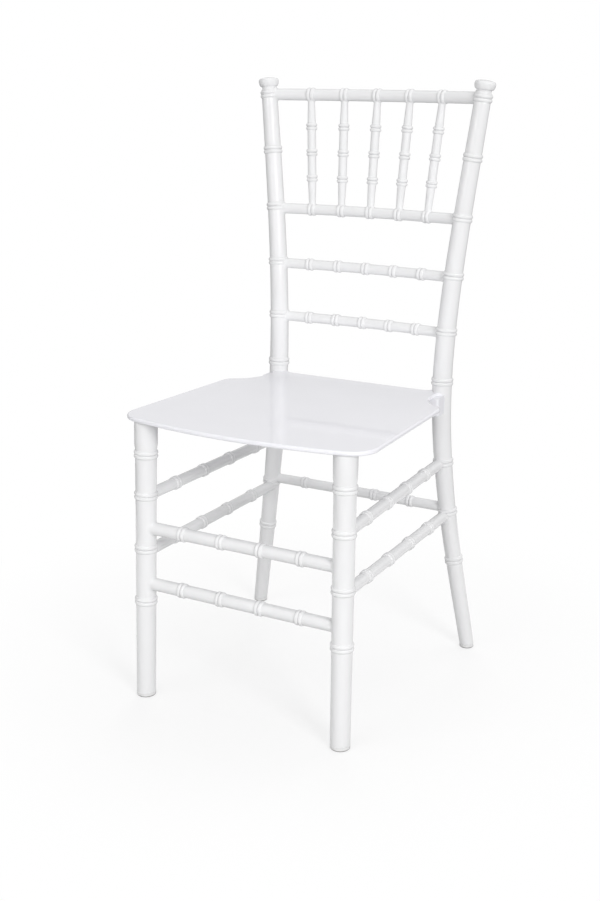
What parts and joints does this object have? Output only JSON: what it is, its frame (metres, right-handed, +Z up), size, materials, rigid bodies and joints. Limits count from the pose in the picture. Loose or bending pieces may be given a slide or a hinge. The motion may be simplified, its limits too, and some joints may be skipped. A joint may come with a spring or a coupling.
{
  "type": "dining chair",
  "caption": "Gloss-white ballroom chair with ringed bamboo-look legs and posts, bowed back rails joined by upright spindles, ringed stretchers and a thin flat seat.",
  "frame": {"origin": "on the floor, at the middle of the chair's overall width and depth", "axes": "+Z up, -Y the way the sitter faces, +X to the sitter's left"},
  "size_m": [0.4282, 0.4734, 0.9239],
  "materials": {
    "frame": "gloss white",
    "seat": "high-gloss white",
    "glide": "off-white, satin",
    "bolt": "plain steel"
  },
  "bodies": {
    "root": {"back_rail_lower": "frame", "back_rail_mid": "frame", "back_rail_spindle": "frame", "back_rail_top": "frame", "back_spindle_1": "frame", "back_spindle_2": "frame", "back_spindle_3": "frame", "back_spindle_4": "frame", "back_spindle_5": "frame", "front_leg_left": "frame", "front_leg_right": "frame", "front_stretcher_lower": "frame", "front_stretcher_upper": "frame", "left_stretcher_lower": "frame", "left_stretcher_upper": "frame", "right_stretcher_lower": "frame", "right_stretcher_upper": "frame", "rear_post_left": "frame", "rear_post_right": "frame", "rear_stretcher": "frame", "seat": "seat", "foot_glide_front_left": "glide", "foot_glide_front_right": "glide", "foot_glide_rear_left": "glide", "foot_glide_rear_right": "glide", "seat_bolt_left": "bolt", "seat_bolt_right": "bolt"}
  },
  "joints": []
}
